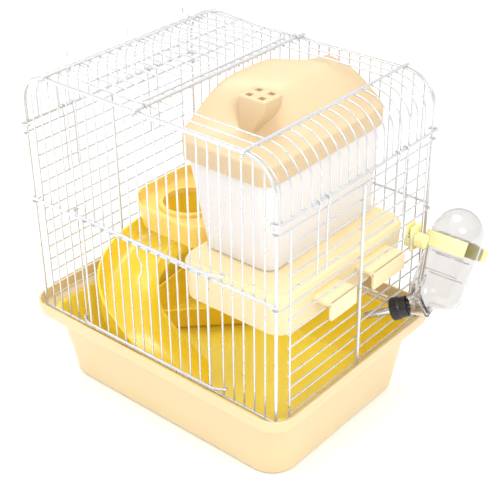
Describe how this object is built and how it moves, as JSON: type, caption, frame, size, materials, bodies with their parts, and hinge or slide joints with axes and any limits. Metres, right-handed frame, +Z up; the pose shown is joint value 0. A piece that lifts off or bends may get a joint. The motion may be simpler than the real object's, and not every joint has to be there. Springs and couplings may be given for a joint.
{
  "type": "hamster cage",
  "caption": "Two-storey wire cage on a deep plastic tray, with a sliding front door, hinged roof hatch, platform, slide, small hut and a clipped drinking bottle.",
  "frame": {"origin": "centre of the flat underside of the tray", "axes": "+X to the right along the long front, -Y towards the front door, +Z up"},
  "size_m": [0.3135, 0.2225, 0.2921],
  "materials": {
    "tray_plastic": "cream moulded plastic",
    "landing_plastic": "cream moulded plastic, slightly see-through",
    "yellow_plastic": "bright yellow moulded plastic",
    "white_plastic": "milky white moulded plastic",
    "coated_wire": "white coated wire",
    "clear_plastic": "clear blow-moulded plastic",
    "black_plastic": "black ribbed plastic",
    "seal_rubber": "soft pale rubber",
    "spout_steel": "drawn steel tube and steel ball",
    "clip_plastic": "translucent pale yellow plastic"
  },
  "bodies": {
    "cage": {"tray": "tray_plastic", "front_panel": "coated_wire", "back_panel": "coated_wire", "left_panel": "coated_wire", "right_panel": "coated_wire", "roof_panel": "coated_wire", "platform": "tray_plastic", "landing": "landing_plastic", "slide": "yellow_plastic", "hut_walls": "white_plastic", "hut_roof": "tray_plastic", "corner_pan": "yellow_plastic", "bottle": "clear_plastic", "bottle_cap": "black_plastic", "cap_seal": "seal_rubber", "spout_tube": "spout_steel", "bottle_clip": "clip_plastic"},
    "front_door": {"front_door": "coated_wire"},
    "roof_hatch": {"roof_hatch": "coated_wire"},
    "spout_ball": {"spout_ball": "spout_steel"}
  },
  "joints": [
    {"name": "door_slide", "type": "slide", "parent": "cage", "child": "front_door", "axis": [0, 0, 1], "range_m": [0, 0.09]},
    {"name": "hatch_hinge", "type": "hinge", "parent": "cage", "child": "roof_hatch", "pos_m": [-0.002, 0, 0.2831], "axis": [0, 1, 0], "range_deg": [0, 176]},
    {"name": "ball_slide", "type": "slide", "parent": "cage", "child": "spout_ball", "axis": [0.8196, 0.4198, 0.3898], "range_m": [0, 0.001]}
  ]
}
